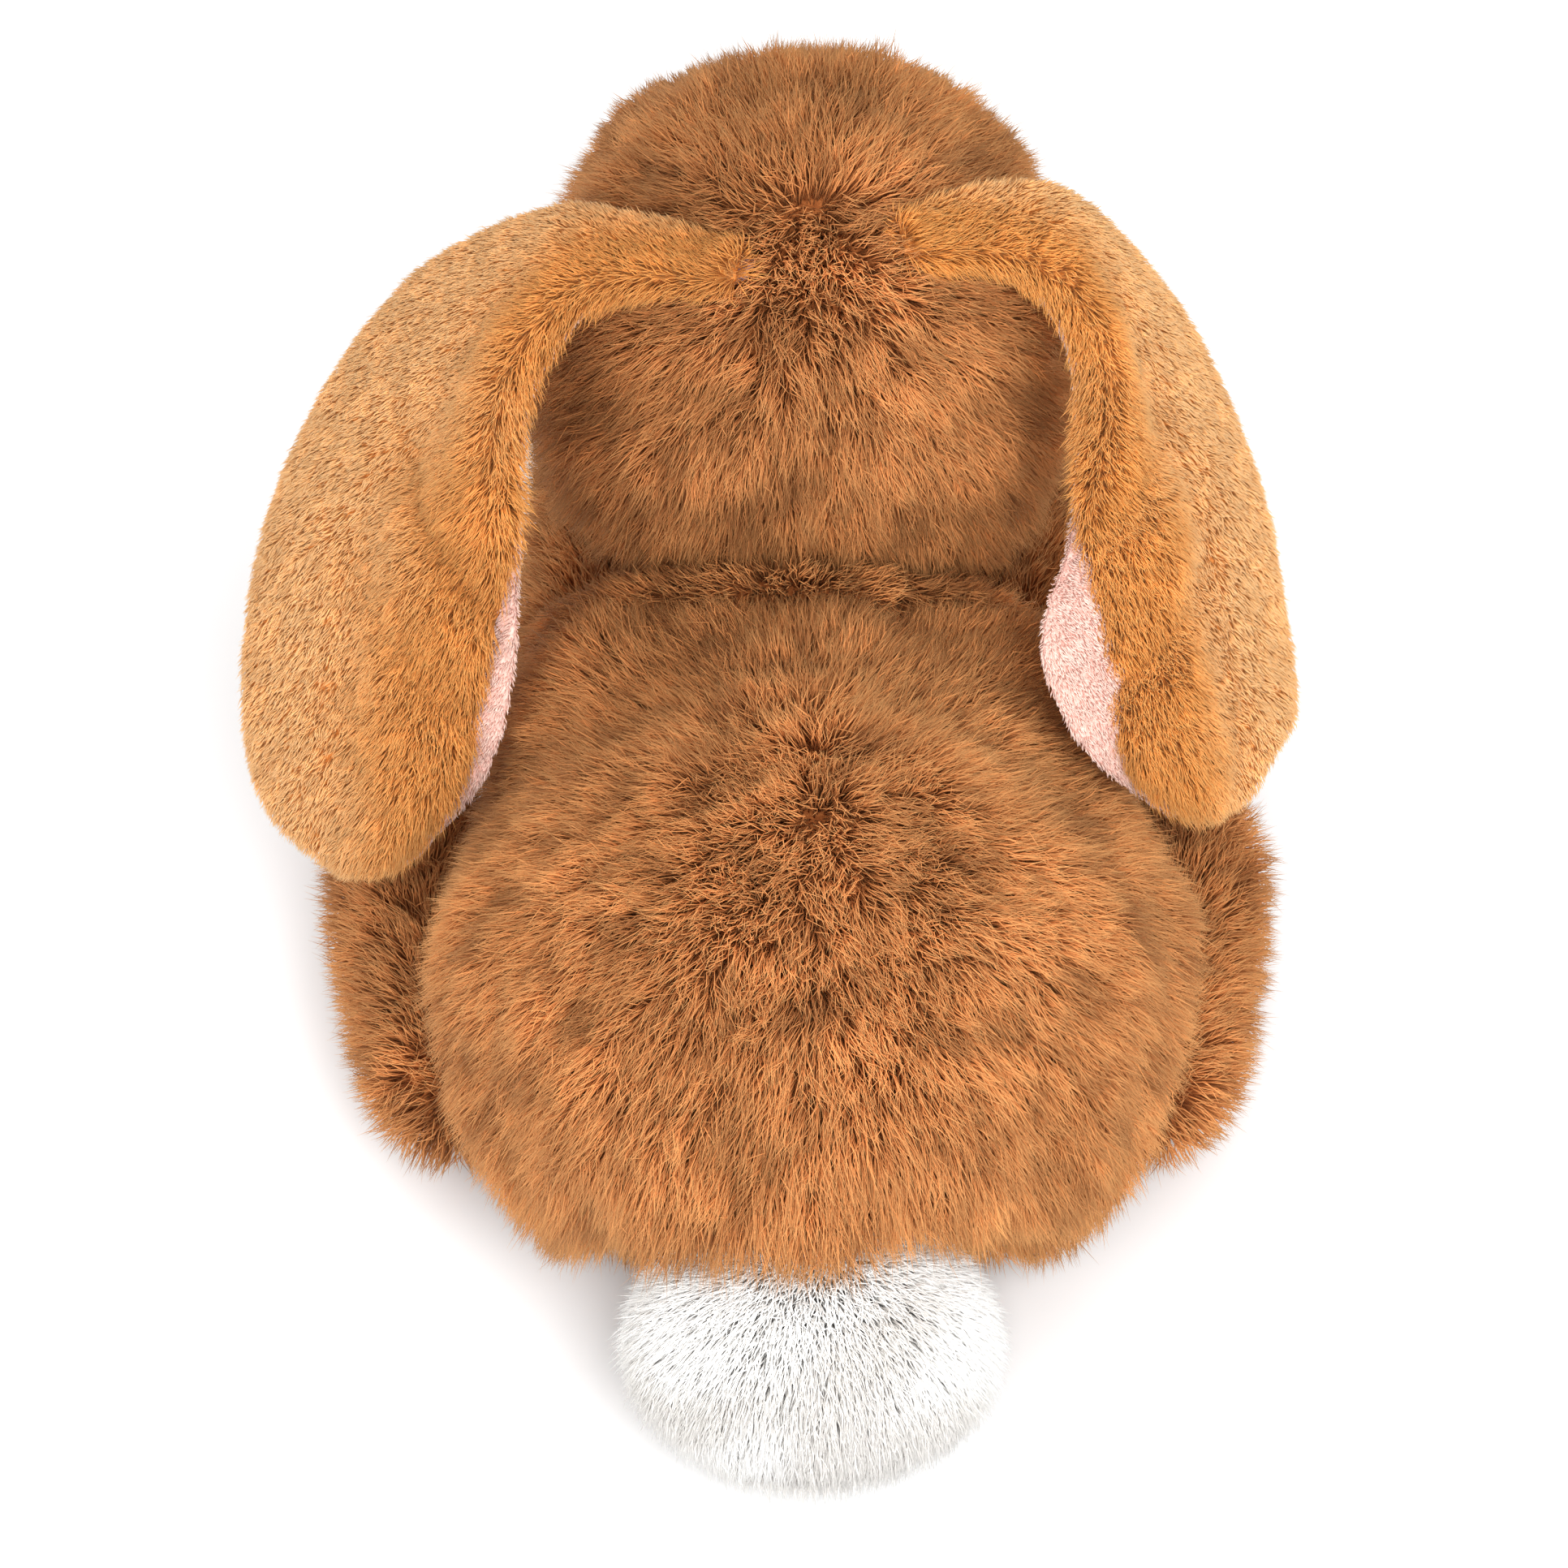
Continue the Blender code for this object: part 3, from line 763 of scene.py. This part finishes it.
class EarGuide:
    """Where a point lies on an ear: along it, across it, and which way is out."""

    def __init__(self, outer, lining, root, sign, steps=12):
        self.root = root
        both = np.vstack([outer, lining])
        reach = np.linalg.norm(both - root, axis=1)
        edges = np.linspace(reach.min(), reach.max(), steps + 1)
        self.stops = (edges[1:] + edges[:-1]) / 2
        near = [np.abs(reach - stop) < (edges[1] - edges[0]) for stop in self.stops]
        self.centre = np.array([both[k].mean(axis=0) for k in near])
        self.way = unit(np.gradient(self.centre, axis=0))
        split = len(outer)
        lift = np.array([
            outer[k[:split]].mean(axis=0) - lining[k[split:]].mean(axis=0) for k in near
        ])
        self.side = unit(np.cross(self.way, lift))
        if self.side[:, 0].mean() * sign > 0:
            self.side = -self.side
        self.out = unit(lift - self.way * np.sum(lift * self.way, axis=1)[:, None])
        self.half = np.array([
            np.abs((both[k] - c) @ w).max() for k, c, w in zip(near, self.centre, self.side)
        ])

    def at(self, points):
        reach = np.linalg.norm(points - self.root, axis=1)

        def read(rows):
            return np.stack([np.interp(reach, self.stops, column) for column in rows.T], axis=1)
        centre, way, side, out = map(read, (self.centre, self.way, self.side, self.out))
        share = np.clip((reach - self.stops[0]) / (self.stops[-1] - self.stops[0]), 0, 1)
        across = np.sum((points - centre) * side, axis=1) / np.interp(reach, self.stops, self.half)
        return Spot(share, np.clip(across, -1, 1), unit(way), unit(side), unit(out))


def narrowed(points, guide, closer):
    """An ear gathered in towards its root, its upper half a little closer to the head."""
    share, across, _, side, _ = guide.at(points)
    keep = np.interp(share, (0.0, 0.15, 0.45), (0.50, 0.65, 1.0))
    half = np.interp(share, np.linspace(0, 1, len(guide.half)), guide.half)
    move = 2.0 * MM * (1 - keep) / 0.4 - across * half * (1 - keep)
    move += closer * hump(share, 0.40, 0.17) * np.clip(across + 0.4, 0, 1)
    return points + side * move[:, None]


ROOT_SINK = 13.0 * MM       # how deep the root of an ear goes into the pile of the head


def sunk(share):
    return ROOT_SINK * np.clip(1 - share / 0.20, 0, 1) ** 1.3


def hump(values, middle, width):
    """1 at the middle, falling off on both sides."""
    return np.exp(-((values - middle) / width) ** 2)


def shaped_outer(points, normals, guide, dents):
    """The outer cloth padded up from its lining, rolled at its inner edge and sunk at its root."""
    share, across, _, side, out = guide.at(points)
    plump = 4.5 * MM * np.sqrt(np.clip(1 - across ** 2, 0, 1)) * np.clip(share * 5, 0, 1)
    roll = 3.0 * MM * hump(across, 0.55, 0.30) - 2.0 * MM * hump(across, 0.05, 0.18)
    upper = np.clip((np.sum(normals * out, axis=1) + 0.2) / 0.7, 0, 1)
    lift = (plump + roll * np.clip((share - 0.15) * 5, 0, 1)) * upper
    for place, width, depth in dents:
        dent = np.exp(-((share - place - 0.10 * across) / width) ** 2)
        lift -= upper * depth * dent * np.clip(across + 0.3, 0, 1)
    lift -= sunk(share)
    bare = 3.5 * MM * hump(share, 0.72, 0.20) * np.clip(across, 0, 1)
    return points + out * lift[:, None] - side * bare[:, None]


def shaped_lining(points, guide, show):
    """The lining showing past the outer cloth's inner edge, towards the tip only."""
    share, across, _, side, out = guide.at(points)
    shift = show * hump(share, 0.74, 0.19) * np.clip(across, 0, 1)
    tuck = -4.5 * MM * np.clip((0.62 - share) * 6, 0, 1) * np.clip(across + 0.2, 0, 1)
    return points + side * (shift + tuck)[:, None] + out * (0.5 * shift - sunk(share))[:, None]


# How much lining shows, how much closer to the head the upper half lies, and the dents, each
# with its share of the way to the tip, its width and its depth
EARS = {
    "left": {
        "show": 3.0 * MM, "closer": 4.0 * MM,
        "dents": ((0.50, 0.030, 4.5 * MM), (0.66, 0.03, 2.5 * MM)),
    },
    "right": {
        "show": 13.0 * MM, "closer": -1.0 * MM,
        "dents": ((0.45, 0.04, 3.0 * MM), (0.68, 0.035, 3.0 * MM)),
    },
}


def ear(side, looks, seed):
    body = f"ear_{side}"
    shape = EARS[side]
    sign = 1.0 if side == "left" else -1.0
    low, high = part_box(f"{body}_outer")
    root = np.array([low.x if side == "left" else high.x, low.y * 0.8 + high.y * 0.2, high.z])
    outer = sheet_skin(f"{body}_outer_skin", f"{body}_outer")
    lining = sheet_skin(f"{body}_lining_skin", f"{body}_lining")
    guide = EarGuide(points_of(outer), points_of(lining), root, sign)
    for cloth in (outer, lining):
        set_points(cloth, narrowed(points_of(cloth), guide, shape["closer"]))
    guide = EarGuide(points_of(outer), points_of(lining), root, sign)
    set_points(outer, shaped_outer(points_of(outer), normals_of(outer), guide, shape["dents"]))
    set_points(lining, shaped_lining(points_of(lining), guide, shape["show"]))

    def sewn(piece):
        """The piece stays where it is, with its transform applied to its points."""
        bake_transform(piece)

    def lean(p, n):
        spot = guide.at(p)
        flow = spot.way - 0.25 * spot.side
        return (flow - n * np.sum(flow * n, axis=1)[:, None]) * 1.5

    def outer_length(p):
        share, across = guide.at(p)[:2]
        at_root = 3.0 * MM * np.clip(1 - share / 0.12, 0, 1)
        return 3.0 * MM + 3.2 * MM * np.clip((across + 0.1) * 1.3, 0, 1) + at_root

    def outer_shade(p):
        share, across = guide.at(p)[:2]
        at_root = 0.6 * np.clip(1 - share / 0.30, 0, 1)
        mottle = 0.16 * (patches(p, 22 * MM, seed) - 0.5)
        return np.clip(0.40 + 0.62 * across + at_root + mottle, 0, 1)

    def lining_length(p):
        return np.full(len(p), 1.8 * MM)

    def outer_where(p, n):
        return np.sum(n * guide.at(p).out, axis=1) > -0.35

    def lining_where(p, n):
        spot = guide.at(p)
        showing = (spot.across > 0.2) & (spot.share > 0.5)
        return (np.sum(n * spot.out, axis=1) < 0.2) | showing

    outer_spec = {"length": outer_length, "where": outer_where, "shade": outer_shade}
    lining_spec = {"length": lining_length, "where": lining_where, "patch": 30 * MM}
    for skin, node, look, slot_name, spec in (
        (outer, "outer", "ear", "ear_pile", outer_spec),
        (lining, "lining", "lining", "lining", lining_spec),
    ):
        spec.update(
            density=4.5, width=0.28 * MM, lean=lean, tufts=((3.5, 0.18),), stray=0.16, droop=0.0)
        skin.data.materials.append(looks[f"{look}_back"])
        sewn(skin)
        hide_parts(f"{body}_{node}")
        grow(f"{body}_{node}_pile", skin, sewn, looks[look], spec, seed)
        seed += 1


# ---------------------------------------------------------------- studio

VIEW_ELEVATION = 50.0
FRAME_WIDTH = 0.3167        # metres across the picture at the toy
FRAME_CENTRE = Vector((0.0056, 0.0, 0.0684))
LENS = 800.0                # mm: the camera is judged to have been far away
SENSOR = 36.0
LIT = Vector((0, 0, 0.05))  # what the lights point at


def studio():
    corners = [(-3, -3, 0), (3, -3, 0), (3, 3, 0), (-3, 3, 0)]
    floor = new_mesh_object("floor", corners, [(0, 1, 2, 3)])
    paper, _, shader = blank("floor_paper")
    shader.inputs["Base Color"].default_value = (0.90, 0.90, 0.90, 1)
    shader.inputs["Roughness"].default_value = 0.9
    floor.data.materials.append(paper)
    world = bpy.context.scene.world or bpy.data.worlds.new("studio")
    bpy.context.scene.world = world
    world.use_nodes = True
    background = world.node_tree.nodes["Background"]
    background.inputs["Color"].default_value = WHITE
    background.inputs["Strength"].default_value = 1.10
    light("key", (-0.35, 1.05, 1.00), 0.9, 18.5)
    light("fill", (0.9, 0.8, 0.8), 0.9, 7.0)
    bpy.context.scene.view_settings.view_transform = "Standard"


def light(name, place, size, power):
    data = bpy.data.lights.new(name, "AREA")
    data.energy = power
    data.size = size
    made = bpy.data.objects.new(name, data)
    made.location = place
    made.rotation_euler = (LIT - made.location).to_track_quat("-Z", "Y").to_euler()
    bpy.context.scene.collection.objects.link(made)


def camera():
    data = bpy.data.cameras.new("camera")
    data.lens = LENS
    data.sensor_width = SENSOR
    data.clip_end = 20.0
    made = bpy.data.objects.new("camera", data)
    distance = FRAME_WIDTH * LENS / SENSOR
    rise = math.radians(VIEW_ELEVATION)
    made.location = FRAME_CENTRE + Vector((0, math.cos(rise), math.sin(rise))) * distance
    made.rotation_euler = (FRAME_CENTRE - made.location).to_track_quat("-Z", "Y").to_euler()
    bpy.context.scene.collection.objects.link(made)
    bpy.context.scene.camera = made


def main():
    looks = make_materials()
    torso(looks)
    head(looks)
    face(looks)
    neck(looks)
    seed = 20
    for kind in ("front", "hind"):
        for side in ("left", "right"):
            leg(kind, side, looks, seed)
            seed += 1
    tail(looks)
    ear("left", looks, 40)
    ear("right", looks, 50)
    studio()
    camera()


main()
